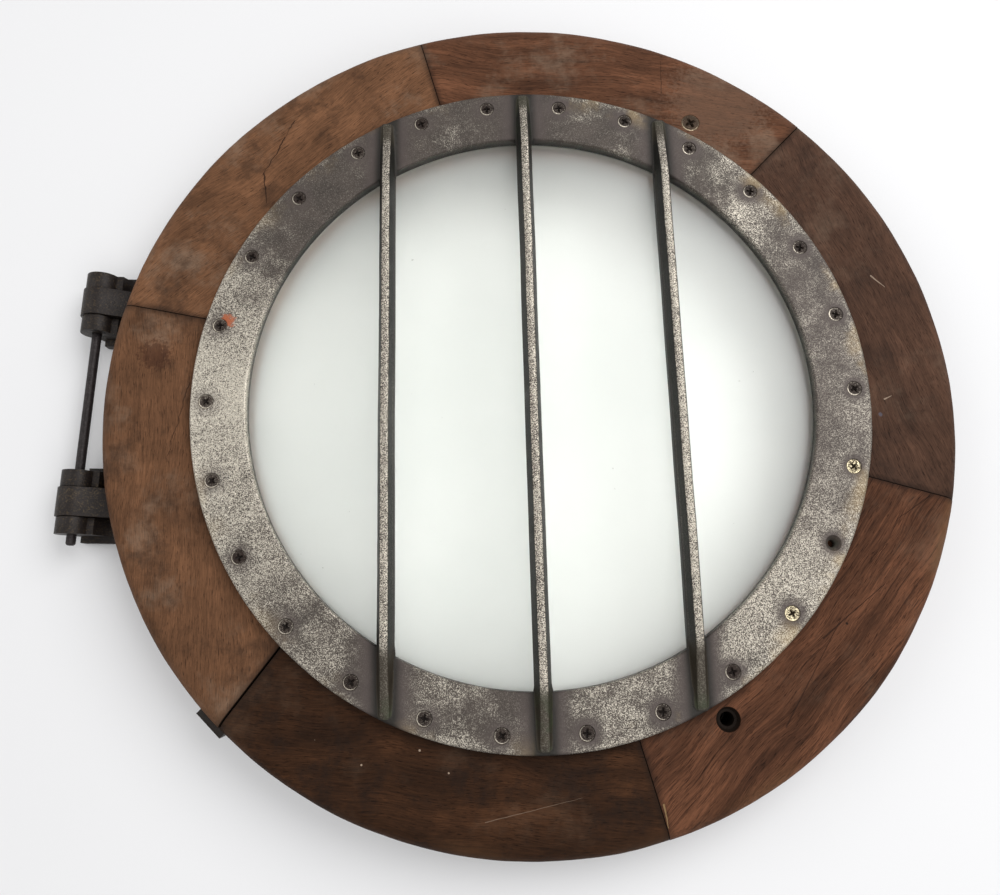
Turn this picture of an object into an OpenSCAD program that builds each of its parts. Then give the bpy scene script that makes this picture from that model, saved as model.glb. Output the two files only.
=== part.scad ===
// Round opening window. A leaf of six hardwood segments on a cast sash ring carries the glass
// and a barred guard ring. It hangs on a long rod in two forks of a cast frame ring, which is
// screwed to a wall or deck. +Z points away from the wall, the back of the frame is z = 0,
// and the hinge rod runs along Y on the -X side. Sizes are in millimetres.

/* [Wood ring] */
// Outer radius of the wood ring
wood_r = 254; // [245:1:320]
// Thickness of the wood ring
wood_t = 22; // [18:0.5:32]
// Rounding of the outer top edge
wood_round = 9; // [4:0.5:12]
// Rounding of the outer bottom edge
wood_round_low = 3; // [1:0.5:5]
// Gap at a closed joint between two segments
joint_gap = 0.6; // [0.4:0.1:1.5]
// Gap at the joint that has opened up
open_joint_gap = 1.7; // [0.6:0.1:3]
// Turn of the wood and the guard against the hinge, in degrees
leaf_turn = 2.2; // [0:0.1:5]

/* [Guard] */
// Clear radius inside the guard ring
sight_r = 166; // [130:1:175]
// Radial width of the guard ring
guard_w = 32.5; // [30:0.5:40]
// Thickness of the guard ring
guard_t = 7; // [5:0.5:10]
// Distance from one bar to the next
bar_pitch = 85; // [70:1:95]
// Width of a bar at the ring's face
bar_w = 10; // [8:0.5:12]
// Width of a bar's crown
crown_w = 4.4; // [3:0.2:6]
// Height of a bar's crown above the ring's face
crown_h = 8.5; // [5:0.5:14]

/* [Glass] */
// Thickness of the glass
glass_t = 8; // [6:0.5:12]
// How far the glass runs under the guard ring
glass_lap = 10; // [7:0.5:12]
// Thickness of the bedding under the glass
bed_t = 2; // [1.5:0.25:3]

/* [Screws] */
// Radius of a small screw's head
head_r = 4.15; // [3.5:0.05:4.6]
// Radius of a small screw's shank
shank_r = 2.1; // [1.8:0.1:2.4]
// Length of a guard screw
guard_screw_l = 19; // [14:1:22]
// Length of a sash screw
sash_screw_l = 15; // [12:1:17]
// Radius of the large screw's head
big_head_r = 5.75; // [5:0.25:7]
// Radius of the large screw's shank
big_shank_r = 2.9; // [2.5:0.1:3.4]
// Radius of the empty hole's sink
empty_sink_r = 6.5; // [5.5:0.25:8]
// Depth of the empty hole's sink
empty_sink_depth = 2.5; // [1:0.5:5]
// Radius of the empty hole in the wood
empty_hole_r = 3.9; // [2.9:0.1:4.5]

/* [Castings] */
// Thickness of the sash ring
sash_t = 8; // [6:0.5:10]
// Thickness of the frame's flange
flange_t = 6; // [5:0.5:9]
// Height from the back of the frame to the sash ring
sash_z = 12; // [11:0.5:16]
// Radius of a fixing hole in the frame
fixing_r = 3.5; // [2.5:0.25:5]
// Number of fixing holes
fixing_count = 12; // [8:4:16]

/* [Hinge] */
// Radius of the hinge rod
rod_r = 2.75; // [2.25:0.25:4]
// Height of the rod's axis above the back of the frame
rod_z = 17; // [14:0.5:20]
// Distance from the wood ring's edge to the rod's axis
rod_out = 19; // [17:0.5:24]
// Distance from the middle of the window to the middle of a hinge
hinge_y = 63; // [50:0.5:80]
// Outer radius of a tongue's knuckle
knuckle_r = 10.5; // [8:0.5:10.5]
// Length of a knuckle
knuckle_w = 17.4; // [12:0.2:22]
// Outer radius of a fork's ear
ear_r = 9.5; // [8:0.5:10.5]
// Width of an ear
ear_w = 10; // [6:0.5:14]
// How far a hinge's foot stands out beyond its ears
foot_out = 4; // [2:0.5:8]
// Length of the rod's tip below the lower fork
rod_tip = 6.5; // [3:0.5:15]

/* [Edge plate] */
// Length of the plate across the open joint
plate_l = 19; // [14:1:30]
// Thickness of the plate
plate_t = 4; // [2:0.5:5]
// Height of the plate
plate_h = 12; // [8:1:14]

/* [Hidden] */
$fn = 96;
EPS = 0.01;

// Clearances
rest_gap = 0.3;
running_gap = 0.08;
slip_gap = 0.05;
side_gap = 0.4;
pilot_gap = 0.05;

// Levels, from the back of the frame upwards
sash_top = sash_z + sash_t;
wood_z = sash_top;
wood_top_z = wood_z + wood_t;
guard_top = wood_top_z + guard_t;
crown_z = guard_top + crown_h;
glass_top = wood_top_z - rest_gap;
glass_z = glass_top - glass_t;
bed_z = glass_z - bed_t;

// Radii, from the sight line outwards
bed_lap = 3;
wood_in_r = sight_r + 2;
glass_r = sight_r + glass_lap;
edge_room = 2;
rebate_r = glass_r + edge_room;
guard_r = sight_r + guard_w;
screw_circle = guard_r - 9.5;
sash_in_r = sight_r + 6;
seal_in_r = sash_in_r + 6;
seal_w = 10;
seal_t = 4;
collar_in_r = seal_in_r + 1.5;
collar_r = seal_in_r + seal_w - 1.5;
sash_r = wood_r - 14;
flange_r = wood_r - 10;
sash_circle = sash_r - 15;
fixing_circle = flange_r - 18;
big_circle = guard_r + big_head_r + 6.2;
empty_circle = guard_r + empty_sink_r + 4.4;

// Joints between the wood segments, counted anticlockwise from the upper right
joint_angles = [45, 105, 165, 225, 285, 345];
joint_skews = [0, 0, 3, 7, 0, -1.5];
open_joint = 3;
mid_r = (guard_r + wood_r) / 2;
tongue_t = 4;
tongue_half = 10;
tongue_in_r = guard_r + 5;
tongue_out_r = wood_r - 16;
tongue_z = wood_z + wood_t / 2 - 3;

// Guard screws: pairs between the bars, and a row of nine on each side
side_pitch = 14.2;
pair_angles = [6.9, 19.8];
side_angles = [for (side = [0, 180], k = [-4 : 4]) side + k * side_pitch];
bar_angles = [for (up = [90, 270], s = [-1, 1], a = pair_angles) up + s * a];
screw_angles = concat(side_angles, bar_angles);
empty_angle = -2 * side_pitch;
bright_angles = [-side_pitch, -3 * side_pitch];
big_angle = 59.2;
empty_big_angle = -61.2;
sash_screw_angles = [-18, 0, 18];

// Hinge
rod_x = -(wood_r + rod_out);
ear_offset = knuckle_w / 2 + side_gap + ear_w / 2;
fork_half = knuckle_w / 2 + side_gap + ear_w;
tongue_root_x = -(sash_r - 18);
ear_root_x = -(flange_r - 12);
sweep_r = 16;

function polar(r, a) = [r * cos(a), r * sin(a)];
function fits(a, list) = len([for (b = list) if (abs(a - b) < 0.1) 1]) > 0;
function gap_of(j) = (j == open_joint ? open_joint_gap : joint_gap) / 2;

// A point on joint j at radius r, moved sideways along the ring by side
function joint_point(j, r, side) =
    let (a = joint_angles[j % 6], shift = (r - mid_r) * tan(joint_skews[j % 6]) + side)
    polar(r, a) + shift * [-sin(a), cos(a)];

function arc(c, r, a0, a1, n) = [for (k = [0 : n]) c + polar(r, a0 + (a1 - a0) * k / n)];

module in_leaf() {
    rotate([0, 0, leaf_turn]) children();
}

module at_polar(r, a) {
    rotate([0, 0, a]) translate([r, 0, 0]) children();
}

module ring(r_in, r_out, z, h) {
    translate([0, 0, z]) difference() {
        cylinder(r = r_out, h = h, $fn = 240);
        translate([0, 0, -1]) cylinder(r = r_in, h = h + 2, $fn = 240);
    }
}

// Profile in x and z, drawn as a plate of width w about the plane y
module plate_y(y, w) {
    translate([0, y + w / 2, 0]) rotate([90, 0, 0]) linear_extrude(w) children();
}

// A countersunk screw with a crossed recess, pointing down, its head's face at z = 0
module screw(r_head, r_shank, l) {
    head_h = r_head - r_shank;
    tip_h = 2 * r_shank;
    difference() {
        union() {
            translate([0, 0, -0.4]) cylinder(r = r_head, h = 0.4, $fn = 32);
            translate([0, 0, -0.4 - head_h]) cylinder(r1 = r_shank, r2 = r_head, h = head_h, $fn = 32);
            translate([0, 0, tip_h - l]) cylinder(r = r_shank, h = l - tip_h - 0.4 - head_h + EPS, $fn = 32);
            translate([0, 0, -l]) cylinder(r1 = r_shank * 0.15, r2 = r_shank, h = tip_h, $fn = 32);
        }
        intersection() {
            for (a = [0, 90]) rotate([0, 0, a]) translate([-r_head, -r_head * 0.16, -r_head * 0.6])
                cube([2 * r_head, r_head * 0.32, r_head]);
            translate([0, 0, -r_head * 0.6]) cylinder(r1 = r_head * 0.18, r2 = r_head * 0.62, h = r_head * 0.6 + EPS, $fn = 32);
        }
    }
}

// The room that such a screw takes, with a clearance all round
module screw_room(r_head, r_shank, l, gap) {
    head_h = r_head - r_shank;
    translate([0, 0, -0.4]) cylinder(r = r_head + gap, h = 2, $fn = 32);
    translate([0, 0, -0.4 - head_h]) cylinder(r1 = r_shank + gap, r2 = r_head + gap, h = head_h, $fn = 32);
    translate([0, 0, -l - 0.5]) cylinder(r = r_shank + gap, h = l, $fn = 32);
}

module wood_section() {
    difference() {
        union() {
            translate([wood_in_r, wood_z + wood_round_low])
                square([wood_r - wood_in_r, wood_t - wood_round_low - wood_round]);
            translate([wood_in_r, wood_z]) square([wood_r - wood_in_r - wood_round_low, wood_t]);
            translate([wood_r - wood_round_low, wood_z + wood_round_low]) circle(r = wood_round_low);
        }
        translate([wood_r - wood_round, wood_top_z - wood_round]) square(wood_round + 1);
        translate([wood_in_r - 1, bed_z]) square([rebate_r - wood_in_r + 1, wood_t]);
    }
    translate([wood_r - wood_round, wood_top_z - wood_round]) intersection() {
        circle(r = wood_round);
        square(wood_round);
    }
}

// The sector of the ring between joint j and the next one
module sector(j) {
    far_r = wood_r + 60;
    near_r = wood_in_r - 40;
    linear_extrude(guard_top) polygon([
        joint_point(j, near_r, gap_of(j)),
        joint_point(j, far_r, gap_of(j)),
        polar(far_r * 1.3, joint_angles[j] + 30),
        joint_point(j + 1, far_r, -gap_of((j + 1) % 6)),
        joint_point(j + 1, near_r, -gap_of((j + 1) % 6))
    ]);
}

// The slot or the loose tongue in it at joint j
module loose_tongue(j, gap) {
    a = joint_angles[j];
    base = joint_point(j, mid_r, 0);
    translate([base[0], base[1], tongue_z - gap]) rotate([0, 0, a + joint_skews[j]])
        translate([tongue_in_r - mid_r - gap, -tongue_half - gap, 0])
        cube([tongue_out_r - tongue_in_r + 2 * gap, 2 * (tongue_half + gap), tongue_t + 2 * gap]);
}

module guard_screw_places(list) {
    for (a = list) at_polar(screw_circle, a) translate([0, 0, guard_top]) children();
}

module sash_screw_places() {
    for (j = [0 : 5], a = sash_screw_angles)
        at_polar(sash_circle, joint_angles[j] + 30 + a) translate([0, 0, sash_z]) mirror([0, 0, 1]) children();
}

module wood_segment(j, tone) {
    color(tone) in_leaf() difference() {
        intersection() {
            rotate_extrude($fn = 240) wood_section();
            sector(j);
        }
        for (k = [j, (j + 1) % 6]) loose_tongue(k, 0.1);
        guard_screw_places(screw_angles) screw_room(head_r, shank_r, guard_screw_l, pilot_gap);
        sash_screw_places() screw_room(head_r, shank_r, sash_screw_l, pilot_gap);
        at_polar(big_circle, big_angle) translate([0, 0, wood_top_z])
            screw_room(big_head_r, big_shank_r, wood_t + 6, pilot_gap);
        at_polar(empty_circle, empty_big_angle) empty_screw_hole();
        edge_plate_seat(0.1);
    }
}

module empty_screw_hole() {
    translate([0, 0, wood_top_z - empty_sink_depth]) cylinder(r = empty_sink_r, h = empty_sink_depth + 5);
    translate([0, 0, wood_z - 1]) cylinder(r = empty_hole_r, h = wood_t);
}

module wood_top() { wood_segment(0, "saddlebrown"); }
module wood_upper_left() { wood_segment(1, "peru"); }
module wood_lower_left() { wood_segment(2, "peru"); }
module wood_bottom() { wood_segment(3, "saddlebrown"); }
module wood_lower_right() { wood_segment(4, "sienna"); }
module wood_upper_right() { wood_segment(5, "saddlebrown"); }

module wood_tongues() {
    color("burlywood") in_leaf() for (j = [0 : 5]) loose_tongue(j, 0);
}

// Frame: flange, collar that meets the leaf's seal, and two hinge forks, cast in one
module ear_profile() {
    difference() {
        union() {
            translate([rod_x, rod_z]) circle(r = ear_r);
            difference() {
                polygon([
                    [rod_x - 4, rod_z - ear_r + 1.5], [rod_x, 0], [ear_root_x, 0],
                    [ear_root_x, flange_t], [ear_root_x - 14, rod_z + 2], [rod_x, rod_z + 2]
                ]);
                translate([ear_root_x - 12, flange_t + sweep_r]) circle(r = sweep_r);
                translate([ear_root_x - 12, flange_t]) square([30, 30]);
            }
        }
        translate([rod_x, rod_z]) circle(r = rod_r + slip_gap);
    }
}

module frame_ring() {
    color([0.24, 0.20, 0.17]) {
        difference() {
            union() {
                ring(collar_in_r, flange_r, 0, flange_t);
                ring(collar_in_r, collar_r, 0, sash_z - rest_gap);
            }
            for (k = [0 : fixing_count - 1]) at_polar(fixing_circle, k * 360 / fixing_count) {
                translate([0, 0, -1]) cylinder(r = fixing_r, h = flange_t + 2);
                translate([0, 0, flange_t - fixing_r]) cylinder(r1 = fixing_r, r2 = 2 * fixing_r + EPS, h = fixing_r + EPS);
            }
        }
        for (s = [-1, 1], e = [-1, 1]) plate_y(s * hinge_y + e * ear_offset, ear_w) ear_profile();
        for (s = [-1, 1]) translate([rod_x, s * hinge_y - fork_half - foot_out, 0])
            cube([ear_root_x - rod_x, 2 * (fork_half + foot_out), flange_t]);
    }
}

module hinge_rod() {
    top_y = hinge_y + fork_half;
    rod_l = 2 * top_y + rod_tip;
    color([0.18, 0.16, 0.15]) translate([rod_x, top_y, rod_z]) rotate([90, 0, 0]) {
        cylinder(r = rod_r, h = rod_l - 1);
        translate([0, 0, rod_l - 1]) cylinder(r1 = rod_r, r2 = rod_r - 1, h = 1);
    }
}

// Sash ring with its seal groove and two hinge tongues, cast in one
module tongue_profile() {
    difference() {
        union() {
            translate([rod_x, rod_z]) circle(r = knuckle_r);
            polygon([
                [rod_x, rod_z] + polar(knuckle_r - 0.5, -60), [rod_x + 17, sash_z], [tongue_root_x, sash_z],
                [tongue_root_x, sash_top], [rod_x + 19, sash_top], [rod_x, rod_z] + polar(knuckle_r - 0.3, 68)
            ]);
        }
        translate([rod_x, rod_z]) circle(r = rod_r + running_gap);
    }
}

module sash_ring() {
    color([0.26, 0.22, 0.19]) {
        difference() {
            union() {
                ring(sash_in_r, sash_r, sash_z, sash_t);
                for (s = [-1, 1]) plate_y(s * hinge_y, knuckle_w) tongue_profile();
            }
            ring(seal_in_r, seal_in_r + seal_w, sash_z - 1, seal_t + 1);
            in_leaf() {
                sash_screw_places() screw_room(head_r, shank_r, sash_screw_l, pilot_gap);
                at_polar(big_circle, big_angle) translate([0, 0, wood_top_z])
                    screw_room(big_head_r, big_shank_r, wood_t + 6, pilot_gap);
                at_polar(empty_circle, empty_big_angle) translate([0, 0, sash_z - 1]) cylinder(r = big_shank_r, h = sash_t + 2);
            }
        }
    }
}

module leaf_seal() {
    color([0.09, 0.09, 0.09]) ring(seal_in_r + 0.1, seal_in_r + seal_w - 0.1, sash_z, seal_t - 0.1);
}

module glass() {
    color([0.86, 0.91, 0.88, 0.5]) translate([0, 0, glass_z]) cylinder(r = glass_r, h = glass_t, $fn = 240);
}

module glass_bedding() {
    color([0.75, 0.73, 0.66]) rotate_extrude($fn = 240) {
        translate([wood_in_r + bed_lap - 2, bed_z]) square([rebate_r - wood_in_r - bed_lap + 1.9, bed_t]);
        translate([glass_r + 0.1, bed_z]) square([edge_room - 0.2, bed_t + glass_t]);
    }
}

// Cross-section of a bar, across it and upwards from the ring's face
module bar_section() {
    polygon([
        [-bar_w * 0.45, -guard_t + 1.5], [bar_w * 0.45, -guard_t + 1.5], [bar_w / 2, -1],
        [crown_w / 2 + 0.3, crown_h - 1.2], [crown_w / 2 - 0.6, crown_h],
        [-crown_w / 2 + 0.6, crown_h], [-crown_w / 2 - 0.3, crown_h - 1.2], [-bar_w / 2, -1]
    ]);
}

// Side view of a bar, which falls away to nothing at the ring's outer edge
module bar_side(x) {
    inner = sqrt(sight_r * sight_r - x * x) - 3;
    outer = sqrt(guard_r * guard_r - x * x) - 1.5;
    polygon(concat(
        [[-outer + 4, -guard_t + 1], [outer - 4, -guard_t + 1], [outer, -1.5], [outer - 0.5, 0.6]],
        [[inner + 6, crown_h - 1.4], [inner, crown_h + 1], [-inner, crown_h + 1]],
        [[-inner - 6, crown_h - 1.4], [-outer + 0.5, 0.6], [-outer, -1.5]]
    ));
}

module guard_bar(x) {
    long = 2 * guard_r + 20;
    translate([x, 0, guard_top]) intersection() {
        translate([0, long / 2, 0]) rotate([90, 0, 0]) linear_extrude(long) bar_section();
        translate([-bar_w, 0, 0]) rotate([90, 0, 90]) linear_extrude(2 * bar_w) bar_side(x);
    }
}

module guard_section() {
    edge = 1.2;
    polygon([
        [sight_r, wood_top_z], [guard_r, wood_top_z], [guard_r, guard_top - edge],
        [guard_r - edge, guard_top], [sight_r + edge, guard_top], [sight_r, guard_top - edge]
    ]);
}

module guard() {
    color([0.42, 0.39, 0.36]) in_leaf() {
        difference() {
            union() {
                rotate_extrude($fn = 240) guard_section();
                for (x = [-bar_pitch, 0, bar_pitch]) guard_bar(x);
            }
            guard_screw_places(screw_angles) screw_room(head_r, shank_r, guard_screw_l, pilot_gap);
        }
    }
}

module guard_screws() {
    left_out = concat([empty_angle], bright_angles);
    color([0.22, 0.19, 0.17]) in_leaf()
        guard_screw_places([for (a = screw_angles) if (!fits(a, left_out)) a])
        screw(head_r, shank_r, guard_screw_l);
}

module bright_screws() {
    color([0.72, 0.64, 0.48]) in_leaf()
        guard_screw_places(bright_angles) screw(head_r, shank_r, guard_screw_l);
}

module sash_screws() {
    color([0.55, 0.47, 0.30]) in_leaf() sash_screw_places() screw(head_r, shank_r, sash_screw_l);
}

module wood_screw() {
    color([0.60, 0.52, 0.38]) in_leaf() at_polar(big_circle, big_angle) translate([0, 0, wood_top_z])
        screw(big_head_r, big_shank_r, wood_t + 5);
}

// Small steel plate let into the ring's edge across the open joint
module edge_plate_place() {
    at_polar(wood_r, joint_angles[open_joint] - 0.5) translate([0, 0, wood_z + wood_round_low + 0.5]) children();
}

module edge_plate_seat(gap) {
    seat = 1.2;
    edge_plate_place() translate([-seat, -plate_l / 2 - gap, -gap])
        cube([seat + plate_t, plate_l + 2 * gap, plate_h + 2 * gap]);
    edge_plate_screw_places() screw_room(1.9, 1, 10, pilot_gap);
}

module edge_plate_screw_places() {
    edge_plate_place() for (s = [-1, 1])
        translate([plate_t - 1.1, s * plate_l * 0.32, plate_h / 2]) rotate([0, 90, 0]) children();
}

module edge_plate() {
    color([0.20, 0.16, 0.14]) in_leaf() difference() {
        edge_plate_place() translate([-1.1, -plate_l / 2, 0]) cube([plate_t, plate_l, plate_h]);
        edge_plate_screw_places() screw_room(1.9, 1, 10, pilot_gap);
    }
}

module edge_plate_screws() {
    color([0.25, 0.22, 0.20]) in_leaf() edge_plate_screw_places() screw(1.9, 1, 10);
}

frame_ring();
hinge_rod();
sash_ring();
leaf_seal();
wood_top();
wood_upper_right();
wood_lower_right();
wood_bottom();
wood_lower_left();
wood_upper_left();
wood_tongues();
glass();
glass_bedding();
guard();
guard_screws();
bright_screws();
sash_screws();
wood_screw();
edge_plate();
edge_plate_screws();
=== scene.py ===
import math
import random

import bmesh
import bpy
from mathutils import Euler, Matrix, Vector, noise


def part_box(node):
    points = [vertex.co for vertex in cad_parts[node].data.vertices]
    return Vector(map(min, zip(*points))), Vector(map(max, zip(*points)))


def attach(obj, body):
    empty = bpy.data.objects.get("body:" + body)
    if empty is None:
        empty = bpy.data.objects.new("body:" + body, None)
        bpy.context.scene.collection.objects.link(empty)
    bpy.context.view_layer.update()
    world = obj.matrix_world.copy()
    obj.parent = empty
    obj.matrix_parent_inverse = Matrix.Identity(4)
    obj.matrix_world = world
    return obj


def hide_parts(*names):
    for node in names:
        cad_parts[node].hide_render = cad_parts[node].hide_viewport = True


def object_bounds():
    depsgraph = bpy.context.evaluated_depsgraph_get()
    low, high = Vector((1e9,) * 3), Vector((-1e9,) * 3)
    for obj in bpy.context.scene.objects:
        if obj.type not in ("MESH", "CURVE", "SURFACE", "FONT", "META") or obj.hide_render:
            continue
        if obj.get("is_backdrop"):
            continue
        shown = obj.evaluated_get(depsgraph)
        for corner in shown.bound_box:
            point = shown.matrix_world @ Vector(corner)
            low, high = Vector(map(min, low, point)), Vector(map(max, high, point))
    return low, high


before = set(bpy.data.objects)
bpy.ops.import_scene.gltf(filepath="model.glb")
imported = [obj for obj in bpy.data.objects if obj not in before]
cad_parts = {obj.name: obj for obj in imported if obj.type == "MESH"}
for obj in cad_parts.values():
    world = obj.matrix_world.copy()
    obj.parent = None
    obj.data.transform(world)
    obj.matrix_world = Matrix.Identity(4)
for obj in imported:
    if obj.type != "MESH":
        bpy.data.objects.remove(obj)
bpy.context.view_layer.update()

bl_info = {
    "name": "Round window finish",
    "version": (1, 0, 0),
    "blender": (4, 5, 0),
    "location": "View3D > Sidebar > Round window",
    "description": "Builds the finished pieces of a barred round window around its frame",
    "category": "Object",
}

MM = 0.001


def node_top(name):
    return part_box(name)[1].z


def widest(name):
    low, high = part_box(name)
    return max(-low.x, -low.y, high.x, high.y)


WOOD_NODES = [
    "wood_top", "wood_upper_left", "wood_lower_left",
    "wood_bottom", "wood_lower_right", "wood_upper_right",
]
WOOD_R = (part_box("wood_top")[1].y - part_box("wood_bottom")[0].y) / 2
WOOD_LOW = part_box("wood_top")[0].z
WOOD_TOP = node_top("wood_top")
GUARD_R = (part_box("guard")[1].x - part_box("guard")[0].x) / 2
GLASS_R = widest("glass")
GLASS_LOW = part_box("glass")[0].z
HEAD_TOP = node_top("guard_screws")


# ---------------------------------------------------------------- settings

def tone_set(middle, level, warm, dark, light):
    """Dark, middle and light tone of one timber."""
    red, green, blue = (c * level for c in middle)
    red *= warm
    return tuple((red * share, green * share, blue * share) for share in (dark, 1.0, light))


class WoodSettings(bpy.types.PropertyGroup):
    edge_round: bpy.props.FloatProperty(
        name="Edge rounding", description="Radius of the outer top edge", default=0.009, unit="LENGTH")
    low_round: bpy.props.FloatProperty(
        name="Low rounding", description="Radius of the outer bottom edge", default=0.003, unit="LENGTH")
    joint_gap: bpy.props.FloatProperty(
        name="Joint gap", description="Gap between two segments", default=0.0003, unit="LENGTH")
    open_gap: bpy.props.FloatProperty(
        name="Open joint gap", description="Gap at the joint that has opened", default=0.0011, unit="LENGTH")
    turn: bpy.props.FloatProperty(
        name="Leaf turn", description="Turn of wood and guard against the hinge",
        default=math.radians(2.2), subtype="ANGLE")
    brown: bpy.props.FloatVectorProperty(
        name="Brown", description="Middle tone of the reddish segments", subtype="COLOR",
        default=(0.098, 0.039, 0.020))
    tan: bpy.props.FloatVectorProperty(
        name="Tan", description="Middle tone of the paler segments", subtype="COLOR",
        default=(0.128, 0.060, 0.030))
    umber: bpy.props.FloatVectorProperty(
        name="Umber", description="Middle tone of the upper right segment", subtype="COLOR",
        default=(0.064, 0.032, 0.020))
    dark: bpy.props.FloatVectorProperty(
        name="Dark", description="Middle tone of the bottom segment", subtype="COLOR",
        default=(0.034, 0.014, 0.006))

    def brown_tones(self, level=1.0, warm=1.0):
        return tone_set(self.brown, level, warm, 0.42, 1.75)

    def tan_tones(self, level=1.0):
        return tone_set(self.tan, level, 1.0, 0.50, 1.45)

    def umber_tones(self):
        return tone_set(self.umber, 1.0, 1.0, 0.50, 1.55)

    def dark_tones(self):
        return tone_set(self.dark, 1.0, 1.0, 0.45, 1.90)


class GuardSettings(bpy.types.PropertyGroup):
    width: bpy.props.FloatProperty(
        name="Ring width", description="Radial width of the guard ring", default=0.0325, unit="LENGTH")
    bar_pitch: bpy.props.FloatProperty(
        name="Bar pitch", description="Distance from bar to bar", default=0.085, unit="LENGTH")
    bar_width: bpy.props.FloatProperty(
        name="Bar width", description="Width of a bar at the ring's face", default=0.010, unit="LENGTH")
    crown_width: bpy.props.FloatProperty(
        name="Crown width", description="Width of a bar's crown", default=0.0044, unit="LENGTH")
    crown_height: bpy.props.FloatProperty(
        name="Crown height", description="Height of a crown above the ring", default=0.0085, unit="LENGTH")
    patina: bpy.props.FloatVectorProperty(
        name="Patina", description="Dark skin of the casting", subtype="COLOR", default=(0.058, 0.046, 0.039))
    bright: bpy.props.FloatVectorProperty(
        name="Bright grain", description="Worn grains of the tinned face", subtype="COLOR",
        default=(0.60, 0.55, 0.46))
    halo: bpy.props.FloatVectorProperty(
        name="Halo", description="Smooth skin round screws and bars", subtype="COLOR",
        default=(0.088, 0.068, 0.064))


class StageSettings(bpy.types.PropertyGroup):
    camera_place: bpy.props.FloatVectorProperty(
        name="Camera place", description="Where the camera stands", subtype="TRANSLATION",
        default=(-0.0235, -0.1245, 0.4863))
    camera_turn: bpy.props.FloatVectorProperty(
        name="Camera turn", description="Camera's rotation about X, Y and Z", subtype="EULER",
        default=(math.radians(11.98), math.radians(-0.80), math.radians(0.76)))
    lens: bpy.props.FloatProperty(
        name="Lens", description="Focal length on a 36 mm wide sensor, in millimetres", default=28.08)
    floor: bpy.props.FloatVectorProperty(
        name="Floor", description="Colour of the pale floor", subtype="COLOR", default=(0.80, 0.80, 0.81))


# ---------------------------------------------------------------- node helpers

class Tree:
    """A node tree with short calls for the nodes that every finish uses."""

    def __init__(self, tree):
        self.tree = tree

    def add(self, kind, **values):
        node = self.tree.nodes.new(kind)
        for name, value in values.items():
            setattr(node, name, value)
        return node

    def put(self, socket, value):
        if isinstance(value, bpy.types.NodeSocket):
            self.tree.links.new(value, socket)
        elif value is not None:
            if socket.type == "RGBA" and len(value) == 3:
                value = (*value, 1.0)
            socket.default_value = value

    def math(self, operation, a, b=None, c=None, clamp=False):
        node = self.add("ShaderNodeMath", operation=operation, use_clamp=clamp)
        for socket, value in zip(node.inputs, (a, b, c)):
            self.put(socket, value)
        return node.outputs[0]

    def plus(self, a, b):
        return self.math("ADD", a, b)

    def minus(self, a, b):
        return self.math("SUBTRACT", a, b)

    def times(self, a, b):
        return self.math("MULTIPLY", a, b)

    def invert(self, a):
        """1 less the value."""
        return self.minus(1.0, a)

    def swing(self, a, reach):
        """The value's distance from one half, times reach."""
        return self.times(self.minus(a, 0.5), reach)

    def vector(self, operation, a, b=None, scale=None):
        node = self.add("ShaderNodeVectorMath", operation=operation)
        self.put(node.inputs[0], a)
        self.put(node.inputs[1], b)
        if scale is not None:
            self.put(node.inputs["Scale"], scale)
        return node.outputs["Value" if operation in ("LENGTH", "DISTANCE", "DOT_PRODUCT") else "Vector"]

    def mix(self, factor, a, b, share=None):
        """Colour a turning into b with factor, or with a share of it."""
        if share is not None:
            factor = self.times(factor, share)
        node = self.add("ShaderNodeMix", data_type="RGBA")
        node.clamp_factor = True
        self.put(node.inputs[0], factor)
        self.put(node.inputs[6], a)
        self.put(node.inputs[7], b)
        return node.outputs[2]

    def mix_value(self, factor, a, b):
        return self.plus(self.times(self.invert(factor), a), self.times(factor, b))

    def span(self, value, low, high, to_low=0.0, to_high=1.0):
        """Maps low..high to to_low..to_high with smooth ends, held outside."""
        node = self.add("ShaderNodeMapRange", interpolation_type="SMOOTHSTEP")
        for socket, number in zip(node.inputs, (value, low, high, to_low, to_high)):
            self.put(socket, number)
        return node.outputs[0]

    def noise(self, vector, scale, detail=2.0, rough=0.5):
        node = self.add("ShaderNodeTexNoise")
        self.put(node.inputs["Vector"], vector)
        self.put(node.inputs["Scale"], scale)
        self.put(node.inputs["Detail"], detail)
        self.put(node.inputs["Roughness"], rough)
        return node.outputs["Fac"]

    def place(self):
        return self.add("ShaderNodeTexCoord").outputs["Object"]

    def facing_up(self):
        normal = self.add("ShaderNodeTexCoord").outputs["Normal"]
        return self.vector("DOT_PRODUCT", normal, (0.0, 0.0, 1.0))

    def mark(self, name):
        return self.add("ShaderNodeAttribute", attribute_name=name).outputs["Fac"]

    def bump(self, height, distance, strength=1.0):
        node = self.add("ShaderNodeBump")
        node.inputs["Distance"].default_value = distance
        node.inputs["Strength"].default_value = strength
        self.put(node.inputs["Height"], height)
        return node.outputs["Normal"]

    def group(self, group, **values):
        node = self.add("ShaderNodeGroup", node_tree=group)
        for name, value in values.items():
            self.put(node.inputs[name.replace("_", " ")], value)
        return node.outputs


def new_group(name, inputs, outputs):
    """An empty shader node group with named sockets: inputs are (name, kind, default)."""
    group = bpy.data.node_groups.new(name, "ShaderNodeTree")
    kinds = {"value": "NodeSocketFloat", "color": "NodeSocketColor", "vector": "NodeSocketVector"}
    for label, kind, default in inputs:
        socket = group.interface.new_socket(label, in_out="INPUT", socket_type=kinds[kind])
        if default is not None:
            socket.default_value = default
    for label, kind in outputs:
        group.interface.new_socket(label, in_out="OUTPUT", socket_type=kinds[kind])
    tree = Tree(group)
    return group, tree, tree.add("NodeGroupInput").outputs, tree.add("NodeGroupOutput").inputs


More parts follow.
